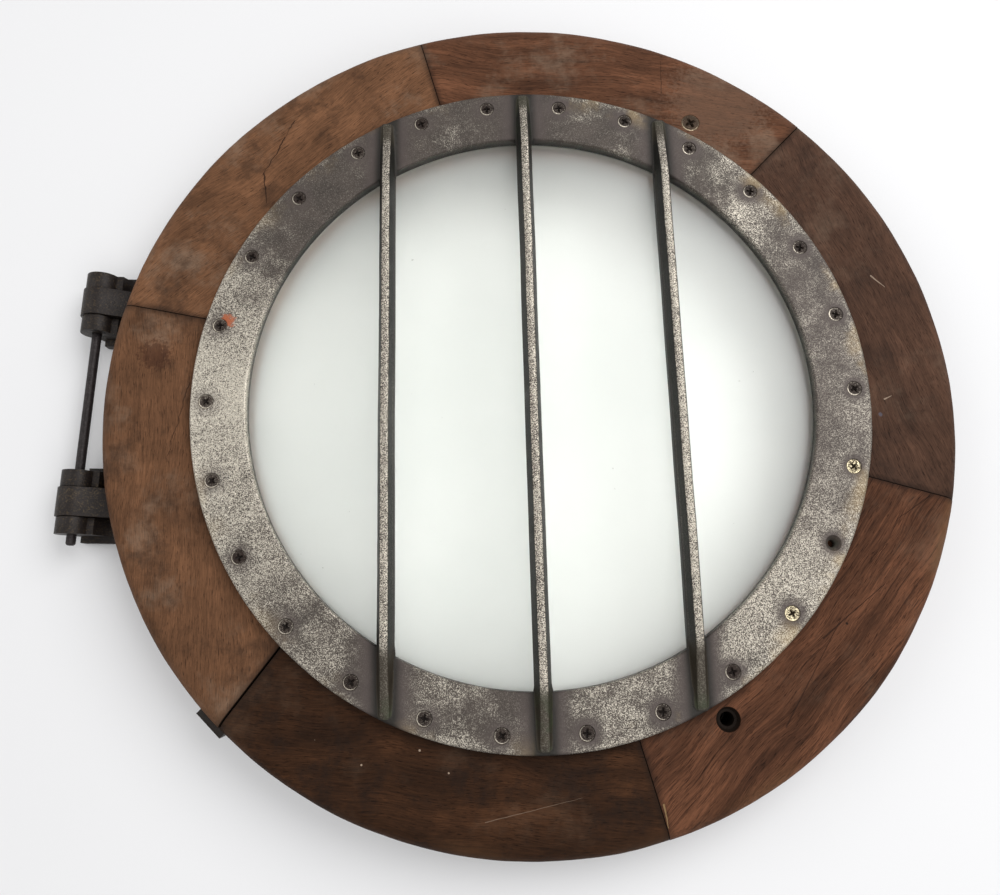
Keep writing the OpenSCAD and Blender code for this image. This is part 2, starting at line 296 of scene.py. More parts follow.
def new_material(name):
    """A material with one Principled BSDF; returns it, its tree and the shader's inputs."""
    material = bpy.data.materials.new(name)
    material.use_nodes = True
    tree = Tree(material.node_tree)
    shader = material.node_tree.nodes["Principled BSDF"]
    return material, tree, shader.inputs


# ---------------------------------------------------------------- shared effects

def grain_group():
    """Open-grained hardwood: bands, streaks, fibres and pores along a grain angle, on any face."""
    group, t, i, o = new_group("Wood grain", [
        ("Vector", "vector", None), ("Angle", "value", 0.0), ("Seed", "value", 0.0),
        ("Dark", "color", (0.03, 0.015, 0.01, 1)), ("Mid", "color", (0.1, 0.05, 0.03, 1)),
        ("Light", "color", (0.2, 0.1, 0.05, 1)), ("Figure", "value", 0.5), ("Streaks", "value", 0.5),
        ("Pores", "value", 0.6),
    ], [("Color", "color"), ("Height", "value"), ("Roughness", "value")])
    turn = t.add("ShaderNodeVectorRotate", rotation_type="Z_AXIS")
    t.put(turn.inputs["Vector"], i["Vector"])
    t.put(turn.inputs["Angle"], t.times(i["Angle"], -1.0))
    shift = t.add("ShaderNodeCombineXYZ")
    t.put(shift.inputs[0], t.times(i["Seed"], 0.73))
    t.put(shift.inputs[1], t.times(i["Seed"], 0.41))
    base = t.vector("ADD", turn.outputs[0], shift.outputs[0])
    sway = t.swing(t.noise(base, 6.0, 3.0), 0.040)
    sway_y = t.add("ShaderNodeCombineXYZ")
    t.put(sway_y.inputs[1], sway)
    base = t.vector("ADD", base, sway_y.outputs[0])
    band = t.noise(t.vector("MULTIPLY", base, (0.13, 1.0, 0.6)), 80.0, 6.0, 0.66)
    streak = t.noise(t.vector("MULTIPLY", base, (0.025, 1.0, 0.5)), 620.0, 4.0, 0.66)
    fibre = t.noise(t.vector("MULTIPLY", base, (0.07, 1.0, 1.0)), 1700.0, 3.0, 0.7)
    pore = t.noise(t.vector("MULTIPLY", base, (0.10, 1.0, 0.4)), 2100.0, 1.0, 0.5)
    pore = t.span(pore, 0.62, 0.74)
    blotch = t.noise(base, 24.0, 5.0, 0.62)
    tone = t.plus(t.times(t.span(band, 0.34, 0.66), i["Figure"]),
                  t.times(t.span(blotch, 0.36, 0.64), t.invert(i["Figure"])))
    tone = t.plus(t.times(tone, 0.72), 0.16)
    color = t.mix(t.span(tone, 0.05, 0.5), i["Dark"], i["Mid"])
    color = t.mix(t.span(tone, 0.52, 0.95), color, i["Light"])
    color = t.mix(t.times(t.span(streak, 0.54, 0.68), i["Streaks"]), color, i["Dark"])
    level = t.noise(t.vector("MULTIPLY", base, (0.035, 1.0, 0.4)), 230.0, 3.0, 0.55)
    cycle = t.math("FRACT", t.times(level, 11.0))
    line = t.invert(t.span(t.math("ABSOLUTE", t.minus(cycle, 0.5)), 0.02, 0.16))
    patches = t.noise(t.vector("MULTIPLY", base, (0.2, 1.0, 1.0)), 60.0, 3.0, 0.6)
    broken = t.times(line, t.span(patches, 0.42, 0.60))
    color = t.mix(t.times(broken, t.times(i["Streaks"], 0.75)), color, i["Dark"])
    pale = t.times(t.span(streak, 0.46, 0.34), t.times(i["Streaks"], 0.50))
    color = t.mix(pale, color, i["Light"])
    shade = t.plus(t.times(t.span(fibre, 0.34, 0.66), 0.40), 0.80)
    shade = t.times(shade, t.invert(t.times(pore, i["Pores"])))
    color = t.vector("SCALE", color, scale=shade)
    t.put(o["Color"], color)
    t.put(o["Height"], t.minus(t.plus(fibre, t.times(streak, 0.8)), pore))
    t.put(o["Roughness"], t.plus(0.58, t.times(blotch, 0.24)))
    return group


def speckle_group():
    """Worn, cast metal face: a fine stipple between a dark skin and bright grains, brighter with Wear."""
    group, t, i, o = new_group("Cast speckle", [
        ("Vector", "vector", None), ("Wear", "value", 0.5), ("Contrast", "value", 1.0),
        ("Skin", "color", (0.08, 0.07, 0.06, 1)), ("Bright", "color", (0.6, 0.58, 0.52, 1)),
        ("Grain", "value", 1100.0),
    ], [("Color", "color"), ("Worn", "value"), ("Height", "value")])
    fine = t.noise(i["Vector"], i["Grain"], 3.0, 0.70)
    coarse = t.noise(i["Vector"], t.times(i["Grain"], 0.30), 3.0, 0.6)
    grit = t.plus(t.swing(fine, 3.6), t.swing(coarse, 0.8))
    share = t.plus(i["Wear"], t.times(grit, i["Contrast"]))
    worn = t.span(share, -0.05, 1.05)
    cloud = t.noise(i["Vector"], 60.0, 4.0, 0.6)
    skin = t.vector("SCALE", i["Skin"], scale=t.span(cloud, 0.25, 0.75, 0.80, 1.25))
    t.put(o["Color"], t.mix(worn, skin, i["Bright"]))
    t.put(o["Worn"], worn)
    t.put(o["Height"], t.plus(fine, t.times(coarse, 1.5)))
    return group


def line_group():
    """A crack or scratch: 1 on a wandering line between two points, seen from above."""
    group, t, i, o = new_group("Line mark", [
        ("Vector", "vector", None), ("Start", "vector", None), ("End", "vector", None),
        ("Width", "value", 0.0005), ("Wander", "value", 0.002), ("Seed", "value", 0.0),
    ], [("Mark", "value")])
    flat = t.vector("MULTIPLY", i["Vector"], (1.0, 1.0, 0.0))
    seeded = t.vector("ADD", flat, i["Seed"])
    node = t.add("ShaderNodeTexNoise")
    t.put(node.inputs["Vector"], seeded)
    node.inputs["Scale"].default_value = 130.0
    node.inputs["Detail"].default_value = 3.0
    stray = t.vector("SCALE", t.vector("SUBTRACT", node.outputs["Color"], (0.5, 0.5, 0.5)), scale=i["Wander"])
    point = t.vector("ADD", flat, t.vector("MULTIPLY", stray, (1.0, 1.0, 0.0)))
    along = t.vector("SUBTRACT", i["End"], i["Start"])
    offset = t.vector("SUBTRACT", point, i["Start"])
    share = t.math("DIVIDE", t.vector("DOT_PRODUCT", offset, along), t.vector("DOT_PRODUCT", along, along),
                   clamp=True)
    nearest = t.vector("ADD", i["Start"], t.vector("SCALE", along, scale=share))
    gap = t.vector("DISTANCE", point, nearest)
    taper = t.times(i["Width"], t.minus(1.15, t.times(share, 0.8)))
    t.put(o["Mark"], t.invert(t.span(t.math("DIVIDE", gap, taper), 0.5, 1.4)))
    return group


def spot_group():
    """A ragged spot or stain round a point, seen from above."""
    group, t, i, o = new_group("Spot mark", [
        ("Vector", "vector", None), ("Centre", "vector", None), ("Radius", "value", 0.003),
        ("Ragged", "value", 0.4),
    ], [("Mark", "value")])
    flat = t.vector("MULTIPLY", i["Vector"], (1.0, 1.0, 0.0))
    gap = t.math("DIVIDE", t.vector("DISTANCE", flat, i["Centre"]), i["Radius"])
    rough = t.times(t.minus(t.noise(flat, 420.0, 4.0, 0.65), 0.5), i["Ragged"])
    t.put(o["Mark"], t.invert(t.span(t.plus(gap, t.times(rough, 3.0)), 0.6, 1.1)))
    return group


def dust_group():
    """Pale flecks that lie on upward faces."""
    group, t, i, o = new_group("Dust flecks", [
        ("Vector", "vector", None), ("Amount", "value", 0.3), ("Size", "value", 900.0),
    ], [("Mark", "value")])
    fleck = t.noise(i["Vector"], i["Size"], 2.0, 0.5)
    patch = t.noise(i["Vector"], 40.0, 3.0, 0.6)
    spread = t.times(t.span(patch, 0.40, 0.70), i["Amount"])
    limit = t.minus(0.82, t.times(spread, 0.12))
    lift = t.math("MAXIMUM", t.facing_up(), 0.0)
    t.put(o["Mark"], t.times(t.span(t.minus(fleck, limit), 0.0, 0.03), lift))
    return group


GROUPS = {}


def effect(name):
    """The shared node group of that name, built the first time it is asked for."""
    makers = {"grain": grain_group, "speckle": speckle_group, "line": line_group,
              "spot": spot_group, "dust": dust_group}
    if name not in GROUPS:
        GROUPS[name] = makers[name]()
    return GROUPS[name]


# ---------------------------------------------------------------- mesh helpers

def mesh_object(name, verts, faces, smooth_angle=35.0):
    mesh = bpy.data.meshes.new(name)
    mesh.from_pydata([tuple(v) for v in verts], [], faces)
    mesh.validate()
    piece = bpy.data.objects.new(name, mesh)
    bpy.context.scene.collection.objects.link(piece)
    smooth(piece, smooth_angle)
    return piece


def smooth(piece, angle=35.0):
    """Shades smooth, with edges sharper than angle kept sharp."""
    bm = bmesh.new()
    bm.from_mesh(piece.data)
    bmesh.ops.recalc_face_normals(bm, faces=bm.faces)
    for face in bm.faces:
        face.smooth = True
    for edge in bm.edges:
        edge.smooth = not (edge.is_manifold and edge.calc_face_angle(0.0) > math.radians(angle))
    bm.to_mesh(piece.data)
    bm.free()


def apply_boolean(piece, cutter, operation="DIFFERENCE"):
    """Cuts or joins cutter into piece, and removes the cutter."""
    modifier = piece.modifiers.new("cut", "BOOLEAN")
    modifier.operation = operation
    modifier.solver = "EXACT"
    modifier.object = cutter
    graph = bpy.context.evaluated_depsgraph_get()
    mesh = bpy.data.meshes.new_from_object(piece.evaluated_get(graph))
    piece.modifiers.clear()
    old = piece.data
    piece.data = mesh
    bpy.data.meshes.remove(old)
    bpy.data.objects.remove(cutter)


def tube_faces(sections, n):
    """Faces of a capped tube whose points are given section by section, n to each."""
    faces = []
    for s in range(sections - 1):
        for k in range(n):
            m = (k + 1) % n
            faces.append((s * n + k, s * n + m, (s + 1) * n + m, (s + 1) * n + k))
    last = (sections - 1) * n
    return faces + [tuple(reversed(range(n))), tuple(last + k for k in range(n))]


def set_mark(piece, name, rule):
    """Stores rule(point) for each vertex, for a material to read."""
    mesh = piece.data
    mark = mesh.attributes.get(name) or mesh.attributes.new(name, "FLOAT", "POINT")
    mark.data.foreach_set("value", [float(rule(v.co)) for v in mesh.vertices])


def set_material(piece, material):
    piece.data.materials.clear()
    piece.data.materials.append(material)


def finish_piece(piece, body, node, material):
    """Gives piece its material and puts it in the place of a node of the frame."""
    set_material(piece, material)
    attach(piece, body)
    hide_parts(node)


def polar(radius, angle):
    return Vector((radius * math.cos(angle), radius * math.sin(angle), 0.0))


def arc(centre, radius, start, stop, count):
    """Points on an arc in the plane of a section, as (across, up) pairs; angles in degrees."""
    points = []
    for k in range(count + 1):
        angle = math.radians(start + (stop - start) * k / count)
        points.append((centre[0] + radius * math.cos(angle), centre[1] + radius * math.sin(angle)))
    return points


def stretch(start, stop, step):
    """Points from start up to, but without, stop, about step apart."""
    count = max(1, round(math.dist(start, stop) / step))
    return [tuple(a + (b - a) * k / count for a, b in zip(start, stop)) for k in range(count)]


def blend_in(value, low, high):
    share = min(max((value - low) / (high - low), 0.0), 1.0)
    return share * share * (3.0 - 2.0 * share)


# ---------------------------------------------------------------- wood ring

JOINT_ANGLES = [45, 105, 165, 225, 285, 345]
JOINT_SKEWS = [0, 0, 3, 7, 0, -1.5]
OPEN_JOINT = 3


def joint_line(index, radius, side, wood):
    """Angle at which joint index meets radius; side is +1 or -1 for its two faces."""
    k = index % 6
    middle = (GUARD_R + WOOD_R) / 2
    gap = wood.open_gap if k == OPEN_JOINT else wood.joint_gap
    shift = (radius - middle) * math.tan(math.radians(JOINT_SKEWS[k])) + side * gap / 2
    turns = 2 * math.pi * (index // 6)
    return math.radians(JOINT_ANGLES[k]) + shift / radius + wood.turn + turns


def wood_outline(wood):
    """Section of the ring as (radius, height) points, anticlockwise from the inner foot."""
    rebate_r = GLASS_R + 2 * MM
    in_r = rebate_r - 10 * MM
    ledge = GLASS_LOW - 2 * MM
    edge, low = wood.edge_round, wood.low_round
    points = stretch((in_r, WOOD_LOW), (WOOD_R - low, WOOD_LOW), 8 * MM)
    points += arc((WOOD_R - low, WOOD_LOW + low), low, -90, 0, 4)[:-1]
    points += stretch((WOOD_R, WOOD_LOW + low), (WOOD_R, WOOD_TOP - edge), 2 * MM)
    points += arc((WOOD_R - edge, WOOD_TOP - edge), edge, 0, 90, 9)[:-1]
    points += stretch((WOOD_R - edge, WOOD_TOP), (GUARD_R - 4 * MM, WOOD_TOP), 2 * MM)
    points += stretch((GUARD_R - 4 * MM, WOOD_TOP), (rebate_r, WOOD_TOP), 8 * MM)
    points += stretch((rebate_r, WOOD_TOP), (rebate_r, ledge), 5 * MM)
    points += stretch((rebate_r, ledge), (in_r, ledge), 5 * MM)
    points += stretch((in_r, ledge), (in_r, WOOD_LOW), 6 * MM)
    return points


def outline_normals(points):
    """Outward direction at each point of a closed anticlockwise outline."""
    normals = []
    for k in range(len(points)):
        before, after = points[k - 1], points[(k + 1) % len(points)]
        way = Vector((after[0] - before[0], after[1] - before[1])).normalized()
        normals.append((way.y, -way.x))
    return normals


def wood_mesh(name, index, wood):
    points = wood_outline(wood)
    normals = outline_normals(points)
    ease = 0.2 * MM
    span = (WOOD_R + GUARD_R) / 2 * math.radians(60)
    count = round(span / (1.8 * MM))
    near = [0.0, 0.12, 0.35, 0.65, 1.0]
    shares = [ease * n / span for n in near]
    shares += [(k + 1) / count for k in range(1, count - 2)]
    shares += [1 - s for s in reversed(shares[:len(near)])]
    verts = []
    for share in shares:
        inset = ease - min(share, 1 - share) * span
        drop = ease - math.sqrt(max(ease ** 2 - inset ** 2, 0.0)) if inset > 0 else 0.0
        for (radius, height), (out, up) in zip(points, normals):
            first = joint_line(index, radius, 1, wood)
            last = joint_line(index + 1, radius, -1, wood)
            spot = polar(radius - drop * out, first + (last - first) * share)
            spot.z = height - drop * up
            dent = noise.noise(spot * 28 + Vector((index * 7, 0, 0))) * 0.22 * MM
            dent += noise.noise(spot * 110) * 0.06 * MM
            worn = blend_in(radius, GUARD_R - 3 * MM, GUARD_R + 4 * MM)
            spot.z += dent * max(up, 0.0) * worn
            spot += polar(dent * max(out, 0.0) * 1.5, math.atan2(spot.y, spot.x))
            verts.append(spot)
    return mesh_object(name, verts, tube_faces(len(shares), len(points)), 40.0)


def cutter(profile, place, sides=48):
    """A turned cutter: profile is (radius, height) points from the axis to the axis."""
    verts, faces = [], []
    for k in range(sides):
        for radius, height in profile[1:-1]:
            verts.append(place + polar(radius, 2 * math.pi * k / sides) + Vector((0, 0, height)))
    rows = len(profile) - 2
    for k in range(sides):
        m = (k + 1) % sides
        for r in range(rows - 1):
            faces.append((k * rows + r, m * rows + r, m * rows + r + 1, k * rows + r + 1))
    faces.append(tuple(k * rows for k in reversed(range(sides))))
    faces.append(tuple(k * rows + rows - 1 for k in range(sides)))
    return mesh_object("cutter", verts, faces)


BIG_HEAD_R = 5.75 * MM
BIG_SHANK_R = 2.9 * MM
BIG_SINK_R = 6.5 * MM


def screw_place(wood):
    """Centre of the large screw on the wood's face."""
    return polar(GUARD_R + BIG_HEAD_R + 6.2 * MM, math.radians(59.2) + wood.turn) + Vector((0, 0, WOOD_TOP))


def hole_place(wood):
    """Centre of the empty screw hole in the wood's face."""
    return polar(GUARD_R + BIG_SINK_R + 4.4 * MM, math.radians(-61.2) + wood.turn) + Vector((0, 0, WOOD_TOP))


def wood_material(name, look, turn):
    """One segment's finish: grain, worn outer edge, dirt and painted shade by the guard, a painted contact shadow
    at the guard's foot, dark joints, marks.
    """
    material, t, shader = new_material(name)
    place = t.place()
    dark, mid, light = look["tones"]
    grain = t.group(effect("grain"), Vector=place, Angle=math.radians(look["angle"]) + turn, Seed=look["seed"],
                    Dark=dark, Mid=mid, Light=light, Figure=look["figure"], Streaks=look["streaks"],
                    Pores=0.55)
    color = grain["Color"]
    flat = t.vector("MULTIPLY", place, (1.0, 1.0, 0.0))
    radius = t.vector("LENGTH", flat)
    patch = t.noise(place, 33.0, 5.0, 0.62)
    wander = t.swing(patch, 0.016)
    ragged = t.plus(radius, wander)
    rub = t.times(t.span(ragged, WOOD_R - 12 * MM, WOOD_R - 1 * MM), t.mark("rub"))
    color = t.mix(rub, color, look["edge"], look["rub"])
    bloom = t.times(t.span(t.noise(place, 21.0, 5.0, 0.68), 0.50, 0.72), look["bloom"])
    color = t.mix(bloom, color, (0.24, 0.165, 0.115))
    cloud = t.noise(t.vector("ADD", place, (3.0, look["seed"], 0.0)), 26.0, 7.0, 0.72)
    stain = t.times(t.span(cloud, 0.50, 0.66), look["stain"])
    color = t.mix(stain, color, [c * 0.6 + 0.004 for c in dark])
    # Darker band on the wood just outside the guard: partly dirt, partly painted shade cast by the guard.
    outside = t.span(radius, GUARD_R - 5 * MM, GUARD_R - 2 * MM)
    grime_and_shade = t.invert(t.span(ragged, GUARD_R - 2 * MM, GUARD_R + 5 * MM))
    color = t.mix(t.times(grime_and_shade, outside), color, [c * 0.45 for c in dark], 0.50)
    # Painted contact shadow: a near-black line on the wood right at the guard's outer foot.
    line = t.invert(t.span(radius, GUARD_R + 0.3 * MM, GUARD_R + 1.5 * MM))
    color = t.mix(t.times(line, outside), color, (0.008, 0.005, 0.004), 0.9)
    color = t.mix(t.mark("seam"), color, (0.010, 0.006, 0.004))
    depth = t.times(t.mark("seam"), 0.5)
    for kind, values, tone, share in look["marks"]:
        mark = t.times(t.group(effect(kind), Vector=place, **values)["Mark"], share)
        color = t.mix(mark, color, tone)
        if kind == "line" and tone[0] < 0.05:
            depth = t.math("MAXIMUM", depth, mark)
    fleck = t.group(effect("dust"), Vector=place, Amount=0.35, Size=900.0)["Mark"]
    color = t.mix(fleck, color, (0.40, 0.32, 0.25), 0.4)
    t.put(shader["Base Color"], color)
    t.put(shader["Roughness"], grain["Roughness"])
    shader["Specular IOR Level"].default_value = 0.09
    height = t.minus(grain["Height"], t.times(depth, 2.5))
    t.put(shader["Normal"], t.bump(height, 0.18 * MM, 0.8))
    return material


def wood_looks(wood):
    """The finish of each segment: its three tones, grain angle, figure and marks."""
    def spot(radius, angle):
        return polar(radius * MM, math.radians(angle) + wood.turn)

    def crack(start, end, width=0.35, wander=2.5, seed=0.0):
        return dict(Start=spot(*start), End=spot(*end), Width=width * MM, Wander=wander * MM, Seed=seed)

    black, pale = (0.012, 0.007, 0.005), (0.36, 0.27, 0.20)
    return {
        "wood_top": dict(
            tones=wood.brown_tones(1.0, 0.95), angle=172, figure=0.75, seed=3.1, streaks=0.60, rub=0.40, bloom=0.50,
            stain=0.25, edge=(0.145, 0.072, 0.045), slot="hardwood_brown",
            marks=[("line", crack((222, 66), (244, 68), 0.30, 2.0), black, 0.5),
                   ("spot", dict(Centre=spot(231, 57), Radius=36 * MM, Ragged=0.6), (0.20, 0.125, 0.085), 0.30)]),
        "wood_upper_left": dict(
            tones=wood.tan_tones(1.06), angle=38, figure=0.25, seed=11.7, streaks=0.25, rub=0.40, bloom=0.55,
            stain=0.65, edge=(0.150, 0.085, 0.055), slot="hardwood_tan",
            marks=[("line", crack((230, 131.0), (221, 137.5), 0.4, 4.0, 1.0), black, 0.8),
                   ("line", crack((221, 137.5), (206, 141.5), 0.4, 4.0, 2.0), black, 0.8),
                   ("line", crack((236, 128), (230, 131.0), 0.3, 4.0, 3.0), black, 0.6)]),
        "wood_lower_left": dict(
            tones=wood.tan_tones(0.95), angle=92, figure=0.35, seed=5.4, streaks=0.35, rub=0.35, bloom=0.45,
            stain=0.60, edge=(0.150, 0.085, 0.050), slot="hardwood_tan",
            marks=[("line", crack((202, 176), (214, 188), 0.3, 4.0, 4.0), black, 0.6),
                   ("spot", dict(Centre=spot(225, 172), Radius=10 * MM, Ragged=0.9), (0.048, 0.018, 0.010), 0.6)]),
        "wood_bottom": dict(
            tones=wood.dark_tones(), angle=174, figure=0.5, seed=8.2, streaks=0.5, rub=0.45, bloom=0.10,
            stain=0.65, edge=(0.085, 0.042, 0.020), slot="hardwood_dark",
            marks=[("spot", dict(Centre=spot(206, 251), Radius=0.7 * MM, Ragged=0.3), pale, 0.9),
                   ("spot", dict(Centre=spot(213, 256), Radius=0.6 * MM, Ragged=0.3), pale, 0.9),
                   ("spot", dict(Centre=spot(224, 244), Radius=0.6 * MM, Ragged=0.3), pale, 0.9),
                   ("line", crack((234, 262), (222, 275), 0.2, 1.0, 5.0), pale, 0.3)]),
        "wood_lower_right": dict(
            tones=wood.brown_tones(0.87, 0.98), angle=48, figure=0.92, seed=1.3, streaks=0.95, rub=0.60,
            bloom=0.12, stain=0.08, edge=(0.150, 0.075, 0.034), slot="hardwood_brown",
            marks=[("line", crack((212, 318), (226, 330), 0.4, 0.8, 6.0), black, 0.7),
                   ("line", crack((230, 305), (214, 322), 0.35, 0.8, 7.0), black, 0.55),
                   ("line", crack((237, -15.6), (222, -20), 0.35, 2.0, 11.0), black, 0.6),
                   ("line", crack((222, -20), (217, -28), 0.35, 2.0, 12.0), black, 0.45),
                   ("spot", dict(Centre=spot(218, 322), Radius=0.8 * MM, Ragged=0.4), black, 0.9),
                   ("line", crack((234, 285.5), (246, 285.2), 0.45, 1.5, 8.0), (0.26, 0.17, 0.08), 0.8)]),
        "wood_upper_right": dict(
            tones=wood.umber_tones(), angle=112, figure=0.5, seed=14.9, streaks=0.5, rub=0.75, bloom=0.22,
            stain=0.45, edge=(0.155, 0.090, 0.055), slot="hardwood_dark",
            marks=[("line", crack((223.5, 19.2), (228.5, 16.8), 0.45, 1.0, 9.0), pale, 0.7),
                   ("line", crack((209.5, -1.4), (214, -0.8), 0.45, 1.0, 10.0), pale, 0.7),
                   ("spot", dict(Centre=spot(206.5, -4), Radius=1.3 * MM, Ragged=0.5), (0.10, 0.10, 0.13), 0.6)]),
    }


class WINDOW_OT_wood(bpy.types.Operator):
    """Builds the six wood segments with their grain, rubbed edges and marks"""
    bl_idname = "window.wood"
    bl_label = "Wood ring"

    def execute(self, context):
        wood = context.scene.window_wood
        looks = wood_looks(wood)
        for index, name in enumerate(WOOD_NODES):
            look = looks[name]
            piece = wood_mesh(name + "_finish", index, wood)
            if name == "wood_top":
                head, shank = BIG_HEAD_R + 0.15 * MM, BIG_SHANK_R + 0.1 * MM
                profile = [(0, 3 * MM), (head, 3 * MM), (head, -0.4 * MM),
                           (shank, -3.2 * MM), (shank, -0.03), (0, -0.03)]
                apply_boolean(piece, cutter(profile, screw_place(wood)))
            if name == "wood_lower_right":
                sink, hole = BIG_SINK_R, 3.9 * MM
                profile = [(0, 3 * MM), (sink + 0.4 * MM, 3 * MM), (sink + 0.3 * MM, 0), (sink, -0.8 * MM),
                           (sink - 1.2 * MM, -2.5 * MM), (hole, -2.8 * MM), (hole, -0.03), (0, -0.03)]
                apply_boolean(piece, cutter(profile, hole_place(wood)))
            smooth(piece, 40.0)
            set_mark(piece, "seam", lambda p: self.seam(p, index, name, wood))
            set_mark(piece, "rub",
                     lambda p: blend_in(noise.noise(p * 17 + Vector((index, 3, 0))), -0.35, 0.45))
            finish_piece(piece, "leaf", name, wood_material(name, look, wood.turn))
        return {"FINISHED"}

    def seam(self, point, index, name, wood):
        """1 in the joint faces, falling to 0 a few millimetres into the face."""
        radius = math.hypot(point.x, point.y)
        angle = math.atan2(point.y, point.x)
        best = 1.0
        for joint, side in ((index, 1), (index + 1, -1)):
            line = joint_line(joint, radius, side, wood)
            gap = (angle - line + math.pi) % (2 * math.pi) - math.pi
            best = min(best, abs(gap) * radius)
        sunk = 1.0 if name == "wood_lower_right" and self.in_hole(point, wood) else 0.0
        return max(sunk, 0.9 - 0.9 * blend_in(best, 0.0, 0.5 * MM))

    def in_hole(self, point, wood):
        return (point.xy - hole_place(wood).xy).length < 7 * MM and point.z < WOOD_TOP - 0.6 * MM


# ---------------------------------------------------------------- guard

SIDE_PITCH = 14.2
PAIR_ANGLES = (6.9, 19.8)
EMPTY_ANGLE = -2 * SIDE_PITCH
BRIGHT_ANGLES = (-SIDE_PITCH, -3 * SIDE_PITCH)
HEAD_R = 4.15 * MM
SHANK_R = 2.1 * MM
GUARD_TOP = HEAD_TOP


# How rubbed the guard is drawn at each angle, in degrees from the right; the change round the ring is partly real
# wear, partly a painted reflection of the lamps
GUARD_WEAR_AND_SHEEN = ((-180, 0.74), (-160, 0.50), (-135, 0.21), (-105, 0.12), (-77, 0.04), (-55, 0.28), (-29, 0.42),
              (0, 0.22), (40, 0.21), (60, 0.10), (78, 0.02), (104, -0.06), (145, -0.04), (162, 0.30), (180, 0.74))


def along_profile(profile, value):
    """The profile's height at a value, straight between its points."""
    for (low, start), (high, end) in zip(profile, profile[1:]):
        if value <= high:
            return start + (end - start) * (value - low) / (high - low)
    return profile[-1][1]


def screw_angles():
    sides = [side + k * SIDE_PITCH for side in (0, 180) for k in range(-4, 5)]
    pairs = [up + s * a for up in (90, 270) for s in (-1, 1) for a in PAIR_ANGLES]
    return sides + pairs


def screw_spot(angle, wood):
    return polar(GUARD_R - 9.5 * MM, math.radians(angle) + wood.turn) + Vector((0, 0, GUARD_TOP))


def ring_mesh(guard):
    """The guard's ring: a turned section with worn, rounded edges."""
    low, top = WOOD_TOP, GUARD_TOP
    inner, outer = GUARD_R - guard.width, GUARD_R
    outline = stretch((inner + 0.6 * MM, low), (outer - 0.6 * MM, low), 8 * MM)
    outline += arc((outer - 0.6 * MM, low + 0.6 * MM), 0.6 * MM, -90, 0, 2)
    outline += stretch((outer, low + 1 * MM), (outer, top - 1.8 * MM), 1.6 * MM)
    outline += arc((outer - 1.8 * MM, top - 1.8 * MM), 1.8 * MM, 0, 90, 5)[:-1]
    outline += stretch((outer - 1.8 * MM, top), (inner + 1.3 * MM, top), 1.7 * MM)
    outline += arc((inner + 1.3 * MM, top - 1.3 * MM), 1.3 * MM, 90, 180, 4)[:-1]
    outline += stretch((inner, top - 1.3 * MM), (inner, low + 0.6 * MM), 1.6 * MM)
    outline += arc((inner + 0.6 * MM, low + 0.6 * MM), 0.6 * MM, 180, 270, 2)[:-1]
    sides = 540
    verts, faces = [], []
    n = len(outline)
    for k in range(sides):
        angle = 2 * math.pi * k / sides
        for radius, height in outline:
            spot = polar(radius, angle) + Vector((0, 0, height))
            wave = noise.noise(spot * 40) * 0.16 * MM + noise.noise(spot * 130) * 0.07 * MM
            if height > low + 1.5 * MM:
                spot.z += wave
                edge = min(radius - inner, outer - radius)
                spot += polar(noise.noise(spot * 90) * 0.12 * MM * (edge < 1 * MM), angle)
            verts.append(spot)
    for k in range(sides):
        m = (k + 1) % sides
        for j in range(n):
            i = (j + 1) % n
            faces.append((k * n + j, m * n + j, m * n + i, k * n + i))
    return mesh_object("guard_ring", verts, faces, 50.0)


